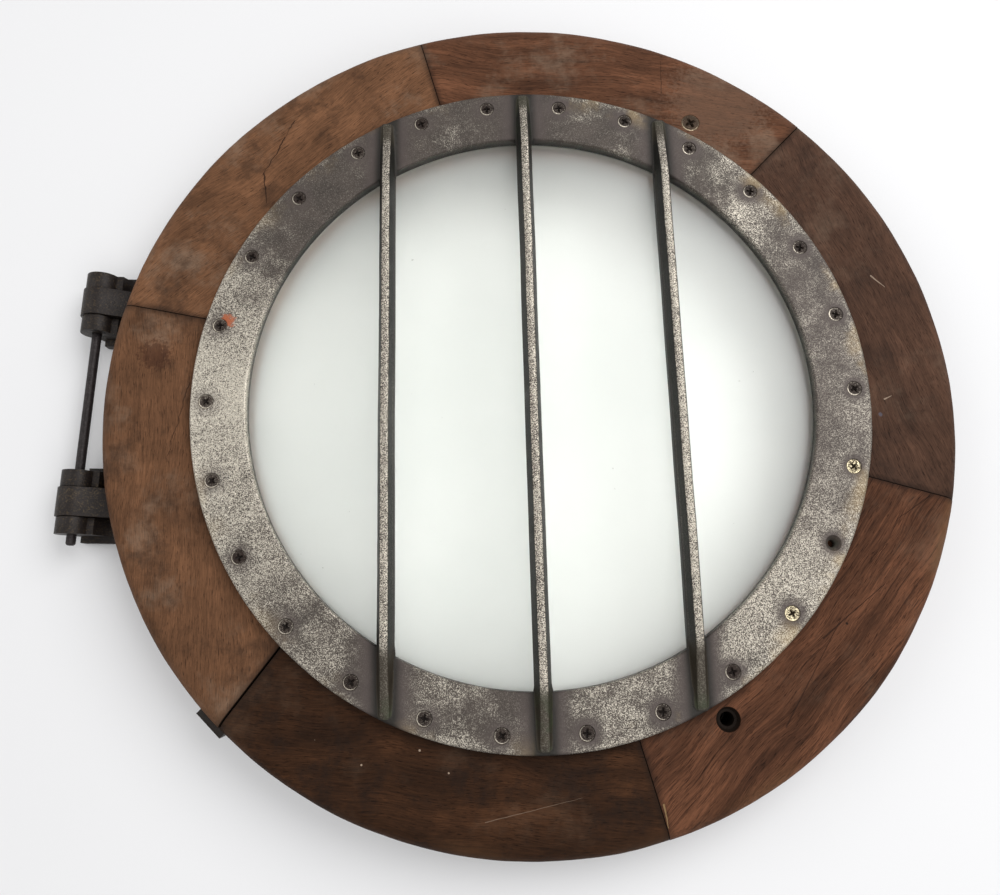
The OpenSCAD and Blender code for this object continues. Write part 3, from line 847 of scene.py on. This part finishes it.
def bar_mesh(offset, wood, guard):
    """One bar: a tapered fin with a rounded crown that dies into the ring at both ends."""
    inner_r, outer_r = GUARD_R - guard.width, GUARD_R
    inner = math.sqrt(inner_r ** 2 - offset ** 2)
    outer = math.sqrt(outer_r ** 2 - offset ** 2) - 1.6 * MM
    foot = WOOD_TOP + 1.5 * MM
    rise = guard.crown_height
    count = round(2 * outer / (2.0 * MM))
    verts = []
    rows = 0
    for k in range(count + 1):
        along = -outer + 2 * outer * k / count
        reach = abs(along)
        fall = min(max((reach - inner + 4 * MM) / (outer - inner + 4 * MM), 0.0), 1.0)
        height = rise * (1 - fall ** 1.15) + 1.2 * MM * blend_in(fall, 0.3, 1.0)
        if reach > outer - 1.2 * MM:
            height *= math.sqrt(max(1 - ((reach - outer + 1.2 * MM) / (1.25 * MM)) ** 2, 0.05))
        wide = guard.bar_width / 2
        lean = (wide - guard.crown_width * (0.5 - 0.08 * fall)) / (height + 1 * MM)
        flare = 0.9 * MM * blend_in(reach, inner - 5 * MM, inner + 1 * MM)
        flare = min(flare, height * 0.9)
        soft = min(1.3 * MM, height * 0.5)
        half = [(wide * 0.86, foot - GUARD_TOP), (wide * 0.93, foot - GUARD_TOP + 0.7 * MM)]
        base = wide - lean * 1 * MM
        half += [(base + flare, -0.6 * MM), (base + flare * 0.98, 0.02 * MM)]
        for step in (0.25, 0.5, 0.75):
            half.append((base - lean * flare * step * 1.2 + flare * (1 - step) ** 2.2,
                         flare * step * 1.1 + 0.05 * MM))
        start = max(flare * 1.1, 0.3 * MM) + 0.05 * MM
        for step in (0.0, 0.33, 0.66, 1.0):
            level = start + (height - soft - start) * step
            half.append((wide - lean * (level + 1 * MM), level))
        edge_half = wide - lean * (height - soft + 1 * MM)
        for turn in (30, 55, 75):
            a = math.radians(turn)
            half.append((edge_half - soft * (1 - math.cos(a)), height - soft + soft * math.sin(a)))
        ring = [(-x, z) for x, z in half] + [(0.0, height + 0.1 * MM)] + list(reversed(half))
        rows = len(ring)
        wobble = noise.noise(Vector((offset * 9, along * 16, 0))) * 0.35 * MM
        for across, up in ring:
            spot = Vector((offset + across + wobble, along, GUARD_TOP + up))
            rough = noise.noise(spot * 170) * 0.10 * MM + noise.noise(spot * 420) * 0.06 * MM
            if up > 0:
                spot.z += rough
                spot.x += noise.noise(spot * 150 + Vector((5, 5, 5))) * 0.08 * MM
            verts.append(spot)
    piece = mesh_object("bar", verts, tube_faces(count + 1, rows), 50.0)
    piece.data.transform(Matrix.Rotation(wood.turn, 4, "Z"))
    return piece


def guard_material(wood, guard):
    """Worn tinned casting: stippled silver where rubbed, its brightness round the ring partly a painted reflection,
    with painted glints, smooth purplish skin by bars and screws, and painted shade on the bars' sides and beside
    their feet.
    """
    material, t, shader = new_material("tinned_casting")
    place = t.place()
    region = t.noise(place, 16.0, 4.0, 0.6)
    drift = t.noise(place, 75.0, 4.0, 0.65)
    crown = t.times(t.mark("top"), t.span(t.facing_up(), 0.45, 0.85))
    # fin: the bars' sides below the crown, which get painted shade further down.
    fin = t.minus(t.mark("bar"), crown)
    halo = t.mark("halo")
    # wear carries real rubbing and, through the worn mark, the painted reflection by angle.
    wear = t.plus(t.mix_value(crown, t.mark("worn"), t.mark("crown")), t.swing(region, 0.8))
    wear = t.plus(wear, t.swing(drift, 0.7))
    wear = t.times(t.math("MAXIMUM", wear, 0.0), t.invert(t.times(halo, 0.8)))
    contrast = t.times(t.span(wear, 0.0, 0.35, 0.50, 1.8), t.invert(t.times(halo, 0.9)))
    contrast = t.mix_value(crown, contrast, 2.8)
    speckle = t.group(effect("speckle"), Vector=place, Wear=wear, Contrast=contrast, Skin=guard.patina,
                      Bright=guard.bright, Grain=1700.0)
    # Painted glints: small bright highlights mixed into the colour on rubbed areas and on the bars' crowns.
    shine = t.math("MAXIMUM", t.span(wear, 0.10, 0.55), crown)
    glint = t.times(t.span(t.noise(place, 1250.0, 2.0, 0.6), 0.58, 0.68), shine)
    color = t.mix(glint, speckle["Color"], (0.96, 0.89, 0.76), 0.75)
    color = t.mix(halo, color, guard.halo, 0.75)
    yellow = t.times(t.span(t.noise(place, 34.0, 4.0, 0.6), 0.50, 0.68), t.mark("edge"))
    color = t.mix(yellow, color, (0.36, 0.25, 0.11), 0.40)
    green = t.times(t.mark("wall"), t.span(t.noise(place, 150.0, 4.0, 0.65), 0.42, 0.62))
    color = t.mix(green, color, (0.060, 0.085, 0.060), 0.6)
    # Painted shade: darker on the ring beside the bars' feet and low on the ring's walls.
    color = t.mix(t.mark("grime_and_shade"), color, (0.014, 0.013, 0.010))
    # Painted shade: the bars' sides are painted near black.
    color = t.mix(fin, color, (0.009, 0.009, 0.007), 0.96)
    color = t.mix(t.mark("foot"), color, (0.036, 0.028, 0.018), 0.85)
    green = t.times(t.mark("moss"), t.span(drift, 0.42, 0.60))
    color = t.mix(green, color, (0.040, 0.050, 0.026), 0.7)
    rust = t.group(effect("spot"), Vector=place, Centre=stain_place(wood), Radius=4.5 * MM,
                   Ragged=0.8)["Mark"]
    color = t.mix(rust, color, (0.42, 0.10, 0.03), 0.8)
    t.put(shader["Base Color"], color)
    t.put(shader["Metallic"], t.plus(0.20, t.times(speckle["Worn"], 0.35)))
    t.put(shader["Roughness"], t.minus(0.55, t.times(speckle["Worn"], 0.15)))
    shader["Specular IOR Level"].default_value = 0.3
    t.put(shader["Normal"], t.bump(speckle["Height"], 0.18 * MM, 0.7))
    return material


def stain_place(wood):
    """Where an orange stain sits beside a screw on the hinge side."""
    return screw_spot(180 - SIDE_PITCH, wood).xy.to_3d() + Vector((4.5 * MM, 3.0 * MM, 0.0))


class WINDOW_OT_guard(bpy.types.Operator):
    """Builds the guard ring with its three bars as one worn casting"""
    bl_idname = "window.guard"
    bl_label = "Guard"

    def execute(self, context):
        wood, guard = context.scene.window_wood, context.scene.window_guard
        piece = ring_mesh(guard)
        head, shank = HEAD_R + 0.25 * MM, SHANK_R + 0.1 * MM
        profile = [(0, 2 * MM), (head + 0.3 * MM, 2 * MM), (head + 0.3 * MM, 0.4 * MM), (head, -0.5 * MM),
                   (shank, -0.5 * MM - head + shank), (shank, -0.010), (0, -0.010)]
        for angle in screw_angles():
            apply_boolean(piece, cutter(profile, screw_spot(angle, wood), sides=32))
        for offset in (-guard.bar_pitch, 0.0, guard.bar_pitch):
            apply_boolean(piece, bar_mesh(offset, wood, guard), "UNION")
        piece.name = "guard_finish"
        smooth(piece, 50.0)
        self.marks(piece, wood, guard)
        finish_piece(piece, "leaf", "guard", guard_material(wood, guard))
        return {"FINISHED"}

    def marks(self, piece, wood, guard):
        spots = [screw_spot(a, wood) for a in screw_angles()]
        unturn = Matrix.Rotation(-wood.turn, 3, "Z")

        def bar_gap(p):
            return min(abs((unturn @ p).x - x) for x in (-guard.bar_pitch, 0.0, guard.bar_pitch))

        def halo(p):
            if bar(p) > 0.5:
                return 0.0
            near = min((p - s).length for s in spots)
            around = (0.75 if p.x > 0 else 0.40) * (1 - blend_in(near, 4 * MM, 12 * MM))
            along = 0.88 * (1 - blend_in(bar_gap(p), 5 * MM, 20 * MM))
            smooth_side = 0.36 * (1 - blend_in(abs(math.degrees(math.atan2(p.y, p.x)) - 2), 16, 45))
            return max(around, along, smooth_side)

        def bar(p):
            return 1.0 if p.z > GUARD_TOP + 0.5 * MM else 0.0

        def top(p):
            return bar(p) * (1.0 if bar_gap(p) < guard.crown_width / 2 + 0.6 * MM else 0.0)

        def past_edge(p):
            """How far a point on a bar lies outside the ring's inner edge."""
            local = unturn @ p
            offset = max(-1, min(1, round(local.x / guard.bar_pitch))) * guard.bar_pitch
            return abs(local.y) - math.sqrt((GUARD_R - guard.width) ** 2 - offset ** 2)

        def foot(p):
            low, high = (-6 * MM, 4 * MM) if p.y < 0 else (14 * MM, 26 * MM)
            return bar(p) * blend_in(past_edge(p), low, high)

        def crown(p):
            ends = blend_in(past_edge(p), -15 * MM, 25 * MM)
            return 0.30 + 0.14 * (p.x > guard.bar_pitch / 2) - 0.5 * ends

        def moss(p):
            reach = abs((unturn @ p).y)
            return bar(p) * blend_in(reach, GUARD_R - 40 * MM, GUARD_R - 20 * MM) * (1.0 if p.y < 0 else 0.4)

        # Worn mark: rubbed wear with a painted reflection pattern by angle, plus a rubbed outer rim.
        def worn(p):
            rim = blend_in(math.hypot(p.x, p.y), GUARD_R - 6 * MM, GUARD_R - 2 * MM)
            return along_profile(GUARD_WEAR_AND_SHEEN, math.degrees(math.atan2(p.y, p.x))) + 0.12 * rim

        def edge(p):
            radius = math.hypot(p.x, p.y)
            return blend_in(radius, GUARD_R - 14 * MM, GUARD_R - 2 * MM) * (1.0 if p.x > 0 else 0.4)

        def wall(p):
            radius = math.hypot(p.x, p.y)
            low = blend_in(GUARD_TOP - p.z, 0.8 * MM, 2.5 * MM)
            return low * (1.0 if radius > GUARD_R - 3 * MM else 0.7)

        # Painted shade on the ring beside the bars' feet and low on the ring's walls.
        def grime_and_shade(p):
            if bar(p) > 0.5:
                return 0.0
            near_bar = 0.9 * (1 - blend_in(bar_gap(p), 4.6 * MM, 11 * MM)) ** 1.5
            return max(near_bar, 0.85 * blend_in(GUARD_TOP - p.z, 1.6 * MM, 5.0 * MM))

        for name, rule in (("halo", halo), ("worn", worn), ("edge", edge), ("wall", wall), ("grime_and_shade", grime_and_shade),
                           ("bar", bar), ("top", top), ("crown", crown), ("foot", foot), ("moss", moss)):
            set_mark(piece, name, rule)


# ---------------------------------------------------------------- screws

def recess_depth(x, y, reach):
    """Depth of a crossed recess at a point of the head, as a share of its reach."""
    depth = 0.0
    for a, b in ((abs(x), abs(y)), (abs(y), abs(x))):
        along, across = a / reach, b / reach
        if along < 1.0 and across < 0.26:
            wing = (1.0 - along) ** 0.6 * min(1.0, (0.26 - across) / 0.09)
            depth = max(depth, wing * 0.62)
    return depth * reach


def screw_mesh(name, head_r, shank_r, length):
    """A countersunk cross-head screw, its face at the origin and its point downwards."""
    bm = bmesh.new()
    sides, rings = 56, 15
    verts = [bm.verts.new((0, 0, -recess_depth(0, 0, head_r * 0.62)))]
    grid = []
    for r in range(1, rings + 1):
        radius = head_r * 0.95 * r / rings
        row = []
        for k in range(sides):
            spot = polar(radius, 2 * math.pi * k / sides)
            dome = 0.05 * head_r * (1 - (r / rings) ** 2)
            spot.z = dome - recess_depth(spot.x, spot.y, head_r * 0.62)
            row.append(bm.verts.new(spot))
        grid.append(row)
    for radius, height in ((1.0, -0.05), (1.0, -0.12)):
        grid.append([bm.verts.new(polar(head_r * radius, 2 * math.pi * k / sides)
                                  + Vector((0, 0, head_r * height))) for k in range(sides)])
    neck = -0.12 * head_r - (head_r - shank_r)
    for radius, height in ((shank_r, neck), (shank_r, 3 * shank_r - length), (shank_r * 0.2, -length)):
        grid.append([bm.verts.new(polar(radius, 2 * math.pi * k / sides) + Vector((0, 0, height)))
                     for k in range(sides)])
    for k in range(sides):
        m = (k + 1) % sides
        bm.faces.new((verts[0], grid[0][k], grid[0][m]))
        for upper, lower in zip(grid, grid[1:]):
            bm.faces.new((upper[k], lower[k], lower[m], upper[m]))
    bm.faces.new(list(reversed(grid[-1])))
    mesh = bpy.data.meshes.new(name)
    bm.to_mesh(mesh)
    bm.free()
    return mesh


def join_copies(name, mesh, places):
    """One object from copies of mesh at the given matrices."""
    bm = bmesh.new()
    for matrix in places:
        copy = mesh.copy()
        copy.transform(matrix)
        bm.from_mesh(copy)
        bpy.data.meshes.remove(copy)
    joined = bpy.data.meshes.new(name)
    bm.to_mesh(joined)
    bm.free()
    piece = bpy.data.objects.new(name, joined)
    bpy.context.scene.collection.objects.link(piece)
    smooth(piece, 38.0)
    return piece


def screw_material(name, skin, bright, wear):
    material, t, shader = new_material(name)
    place = t.place()
    tint = t.mark("tone")
    edge = t.mark("rim")
    # The rim mark brightens each head's edge: worn metal, with a painted highlight on its lower-left side.
    amount = t.plus(t.times(edge, 1.1), t.plus(tint, wear))
    speckle = t.group(effect("speckle"), Vector=place, Wear=amount, Contrast=0.5 + 2.2 * max(wear, 0.0), Skin=skin,
                      Bright=bright, Grain=1700.0)
    color = t.mix(t.mark("recess"), speckle["Color"], [c * 0.5 for c in skin])
    t.put(shader["Base Color"], color)
    t.put(shader["Metallic"], t.plus(0.2, t.times(speckle["Worn"], 0.5)))
    t.put(shader["Roughness"], t.minus(0.5, t.times(speckle["Worn"], 0.2)))
    shader["Specular IOR Level"].default_value = 0.15
    t.put(shader["Normal"], t.bump(speckle["Height"], 0.1 * MM, 0.6))
    return material


def screw_marks(piece, spots, head_r, tones_by_spot):
    def nearest(p):
        return min(range(len(spots)), key=lambda k: (p.xy - spots[k].xy).length_squared)

    # Rim of each head: a worn edge, made brighter toward the lower left as a painted highlight.
    def rim(p):
        spot = spots[nearest(p)]
        way = p.xy - spot.xy
        lit = 0.5 + 0.5 * math.cos(math.atan2(way.y, way.x) - math.radians(215) - 0.8 * noise.noise(spot * 90))
        return blend_in(way.length, head_r * 0.82, head_r * 0.93) * (0.10 + 0.70 * lit ** 2)

    def recess(p):
        spot = spots[nearest(p)]
        inside = (p.xy - spot.xy).length < head_r * 0.75
        return blend_in(spot.z - p.z, 0.10 * MM, 0.7 * MM) if inside else 0.0

    set_mark(piece, "tone", lambda p: tones_by_spot[nearest(p)])
    set_mark(piece, "rim", rim)
    set_mark(piece, "recess", recess)


class WINDOW_OT_screws(bpy.types.Operator):
    """Builds the guard's screws and the large screw in the wood"""
    bl_idname = "window.screws"
    bl_label = "Screws"

    def execute(self, context):
        wood = context.scene.window_wood
        dice = random.Random(26)
        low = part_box("guard_screws")[0].z
        mesh = screw_mesh("guard_screw", HEAD_R, SHANK_R, HEAD_TOP - low)
        bright_set = [round(a, 1) for a in BRIGHT_ANGLES]
        dull, bright = [], []
        for angle in screw_angles():
            if round(angle, 1) == round(EMPTY_ANGLE, 1):
                continue
            (bright if round(angle, 1) in bright_set else dull).append(angle)
        for name, angles, slot, look in (
            ("guard_screws", dull, "dark_screw", ((0.024, 0.016, 0.013), (0.80, 0.72, 0.60), -0.06)),
            ("bright_screws", bright, "bright_screw", ((0.045, 0.030, 0.016), (0.95, 0.83, 0.56), 0.36)),
        ):
            places, spots, shades = [], [], []
            for angle in angles:
                spot = screw_spot(angle, wood) - Vector((0, 0, dice.uniform(0.1, 0.55) * MM))
                tilt = Euler((dice.gauss(0, 0.02), dice.gauss(0, 0.02), dice.uniform(0, math.pi)))
                places.append(Matrix.Translation(spot) @ tilt.to_matrix().to_4x4())
                spots.append(spot)
                shades.append(dice.uniform(-0.08, 0.12))
            piece = join_copies(name + "_finish", mesh, places)
            screw_marks(piece, spots, HEAD_R, shades)
            finish_piece(piece, "leaf", name, screw_material(name, *look))
        length = WOOD_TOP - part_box("wood_screw")[0].z
        mesh = screw_mesh("large_screw", BIG_HEAD_R, BIG_SHANK_R, length)
        spot = screw_place(wood) - Vector((0, 0, 0.3 * MM))
        turned = Matrix.Translation(spot) @ Matrix.Rotation(0.5, 4, "Z")
        piece = join_copies("wood_screw_finish", mesh, [turned])
        screw_marks(piece, [spot], BIG_HEAD_R, [0.1])
        look = ((0.040, 0.024, 0.014), (0.50, 0.40, 0.27), -0.16)
        finish_piece(piece, "leaf", "wood_screw", screw_material("large_screw", *look))
        return {"FINISHED"}


# ---------------------------------------------------------------- glass

class WINDOW_OT_glass(bpy.types.Operator):
    """Gives the glass its clear face, milky back and specks"""
    bl_idname = "window.glass"
    bl_label = "Glass"

    def execute(self, context):
        material, t, shader = new_material("milky_glass")
        place = t.place()
        split = t.add("ShaderNodeSeparateXYZ")
        t.put(split.inputs[0], place)
        height = split.outputs["Z"]
        cloud = t.noise(place, 9.0, 3.0, 0.6)
        fleck = t.group(effect("dust"), Vector=place, Amount=0.5, Size=420.0)["Mark"]
        color = t.mix(t.span(cloud, 0.3, 0.7), (0.865, 0.88, 0.85), (0.92, 0.93, 0.90))
        color = t.mix(fleck, color, (0.25, 0.24, 0.20), 0.8)
        t.put(shader["Base Color"], color)
        t.put(shader["Roughness"], t.span(height, GLASS_LOW + 1 * MM, GLASS_LOW + 5 * MM, 0.55, 0.30))
        shader["Transmission Weight"].default_value = 0.88
        shader["IOR"].default_value = 1.5
        light_path = t.add("ShaderNodeLightPath")
        clear = t.add("ShaderNodeBsdfTransparent")
        clear.inputs["Color"].default_value = (0.932, 0.945, 0.93, 1.0)
        blend = t.add("ShaderNodeMixShader")
        t.put(blend.inputs[0], light_path.outputs["Is Shadow Ray"])
        t.tree.links.new(t.tree.nodes["Principled BSDF"].outputs[0], blend.inputs[1])
        t.tree.links.new(clear.outputs[0], blend.inputs[2])
        t.tree.links.new(blend.outputs[0], t.tree.nodes["Material Output"].inputs["Surface"])
        set_material(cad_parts["glass"], material)
        return {"FINISHED"}


# ---------------------------------------------------------------- castings

def bronze_material(name, skin, bright, wear):
    material, t, shader = new_material(name)
    place = t.place()
    region = t.noise(place, 45.0, 4.0, 0.6)
    amount = t.plus(wear, t.swing(region, 0.5))
    speckle = t.group(effect("speckle"), Vector=place, Wear=amount, Contrast=0.45, Skin=skin,
                      Bright=bright, Grain=900.0)
    t.put(shader["Base Color"], speckle["Color"])
    t.put(shader["Metallic"], t.plus(0.30, t.times(speckle["Worn"], 0.4)))
    t.put(shader["Roughness"], t.minus(0.48, t.times(speckle["Worn"], 0.16)))
    shader["Specular IOR Level"].default_value = 0.35
    t.put(shader["Normal"], t.bump(speckle["Height"], 0.3 * MM, 0.7))
    return material


def softened_copy(node, width):
    """A copy of a CAD node with its sharp edges rounded."""
    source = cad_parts[node]
    mesh = source.data.copy()
    piece = bpy.data.objects.new(node + "_finish", mesh)
    bpy.context.scene.collection.objects.link(piece)
    bm = bmesh.new()
    bm.from_mesh(mesh)
    bmesh.ops.remove_doubles(bm, verts=bm.verts, dist=1e-6)
    bmesh.ops.dissolve_limit(bm, angle_limit=math.radians(0.5), verts=bm.verts, edges=bm.edges)
    sharp = [e for e in bm.edges if e.is_manifold and e.calc_face_angle(0.0) > math.radians(30)]
    bmesh.ops.bevel(bm, geom=sharp, offset=width, offset_type="OFFSET", segments=2, profile=0.5,
                    affect="EDGES", clamp_overlap=True)
    bm.to_mesh(mesh)
    bm.free()
    smooth(piece, 40.0)
    return piece


class WINDOW_OT_castings(bpy.types.Operator):
    """Builds the frame and sash castings, the hinge rod and the edge plate"""
    bl_idname = "window.castings"
    bl_label = "Castings and hinge"

    def execute(self, context):
        skin, bright = (0.014, 0.010, 0.009), (0.20, 0.14, 0.07)
        for node, body, slot, edge, name, *look in (
            ("frame_ring", "frame", "dark_bronze", 0.8 * MM, "dark_bronze", skin, bright, 0.02),
            ("sash_ring", "leaf", "dark_bronze", 0.8 * MM, "sash_bronze", skin, bright, 0.0),
            ("hinge_rod", "frame", "rod_steel", 0.4 * MM, "rod_steel",
             (0.016, 0.012, 0.012), (0.12, 0.10, 0.10), 0.08),
            ("edge_plate", "leaf", "dark_steel", 0.35 * MM, "dark_steel",
             (0.012, 0.008, 0.006), (0.06, 0.04, 0.028), -0.1),
            ("edge_plate_screws", "leaf", "dark_steel", 0.1 * MM, "plate_screws",
             (0.03, 0.022, 0.018), (0.2, 0.16, 0.12), 0.1),
        ):
            piece = softened_copy(node, edge)
            finish_piece(piece, body, node, bronze_material(name, *look))
        return {"FINISHED"}


class WINDOW_OT_hidden(bpy.types.Operator):
    """Finishes the seal, the bedding, the loose tongues and the screws behind the wood"""
    bl_idname = "window.hidden"
    bl_label = "Hidden pieces"

    def execute(self, context):
        for node, tone, rough, scale in (
            ("leaf_seal", (0.018, 0.018, 0.018), 0.75, 300.0),
            ("glass_bedding", (0.40, 0.37, 0.31), 0.85, 240.0),
            ("wood_tongues", (0.24, 0.14, 0.07), 0.7, 500.0),
            ("sash_screws", (0.26, 0.19, 0.09), 0.45, 700.0),
        ):
            material, t, shader = new_material(node)
            cloud = t.noise(t.place(), scale, 4.0, 0.6)
            t.put(shader["Base Color"], t.mix(t.span(cloud, 0.3, 0.7), [c * 0.7 for c in tone], tone))
            t.put(shader["Roughness"], t.span(cloud, 0.2, 0.8, rough - 0.12, rough + 0.1))
            shader["Metallic"].default_value = 0.8 if node == "sash_screws" else 0.0
            t.put(shader["Normal"], t.bump(cloud, 0.15 * MM, 0.6))
            set_material(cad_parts[node], material)
        return {"FINISHED"}


# ---------------------------------------------------------------- stage

def area_light(name, size, power, place):
    """A round soft light that faces the part's centre."""
    light = bpy.data.lights.new(name, "AREA")
    light.shape = "DISK"
    light.size = size
    light.energy = power
    lamp = bpy.data.objects.new(name, light)
    lamp.location = place
    lamp.rotation_euler = (-Vector(place)).to_track_quat("-Z", "Y").to_euler()
    bpy.context.scene.collection.objects.link(lamp)


class WINDOW_OT_stage(bpy.types.Operator):
    """Lays the pale floor, sets the soft lights and the camera"""
    bl_idname = "window.stage"
    bl_label = "Stage"

    def execute(self, context):
        stage = context.scene.window_stage
        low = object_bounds()[0][2]
        half = 3.0
        corners = [(-half, -half, low), (half, -half, low), (half, half, low), (-half, half, low)]
        floor = mesh_object("floor", corners,
                            [(0, 1, 2, 3)])
        material, t, shader = new_material("floor")
        cloud = t.noise(t.place(), 3.0, 3.0, 0.5)
        t.put(shader["Base Color"], t.mix(t.span(cloud, 0.3, 0.7), [c * 0.98 for c in stage.floor], stage.floor))
        shader["Roughness"].default_value = 0.7
        floor.data.materials.append(material)
        floor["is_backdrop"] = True
        area_light("key", 1.5, 22.5, (0.9, 0.8, 1.5))
        area_light("fill", 1.6, 11.0, (0.6, -0.9, 1.5))
        area_light("left", 1.2, 6.5, (-1.4, 0.3, 1.2))
        world = bpy.data.worlds.new("studio")
        world.use_nodes = True
        world.node_tree.nodes["Background"].inputs["Color"].default_value = (1.0, 1.0, 0.995, 1.0)
        world.node_tree.nodes["Background"].inputs["Strength"].default_value = 0.45
        context.scene.world = world
        context.scene.view_settings.view_transform = "Standard"
        camera = bpy.data.cameras.new("camera")
        camera.sensor_width = 36.0
        camera.lens = stage.lens
        camera.clip_start = 0.01
        stand = bpy.data.objects.new("camera", camera)
        stand.location = stage.camera_place
        stand.rotation_euler = Euler(stage.camera_turn)
        context.scene.collection.objects.link(stand)
        context.scene.camera = stand
        return {"FINISHED"}


class WINDOW_PT_panel(bpy.types.Panel):
    """Lists the settings and the operators in the sidebar"""
    bl_label = "Round window"
    bl_idname = "WINDOW_PT_panel"
    bl_space_type = "VIEW_3D"
    bl_region_type = "UI"
    bl_category = "Round window"

    def draw(self, context):
        for operator in OPERATORS:
            self.layout.operator(operator.bl_idname)
        scene = context.scene
        for group in (scene.window_wood, scene.window_guard, scene.window_stage):
            box = self.layout.box()
            for name in group.bl_rna.properties.keys():
                if name not in ("rna_type", "name"):
                    box.prop(group, name)


OPERATORS = [
    WINDOW_OT_stage, WINDOW_OT_wood, WINDOW_OT_guard, WINDOW_OT_screws,
    WINDOW_OT_glass, WINDOW_OT_castings, WINDOW_OT_hidden,
]
CLASSES = [WoodSettings, GuardSettings, StageSettings, *OPERATORS, WINDOW_PT_panel]


def register():
    for item in CLASSES:
        bpy.utils.register_class(item)
    bpy.types.Scene.window_wood = bpy.props.PointerProperty(type=WoodSettings)
    bpy.types.Scene.window_guard = bpy.props.PointerProperty(type=GuardSettings)
    bpy.types.Scene.window_stage = bpy.props.PointerProperty(type=StageSettings)


def unregister():
    del bpy.types.Scene.window_stage
    del bpy.types.Scene.window_guard
    del bpy.types.Scene.window_wood
    for item in reversed(CLASSES):
        bpy.utils.unregister_class(item)


def main():
    register()
    for operator in OPERATORS:
        getattr(bpy.ops.window, operator.bl_idname.split(".")[1])()


if __name__ == "__main__":
    main()
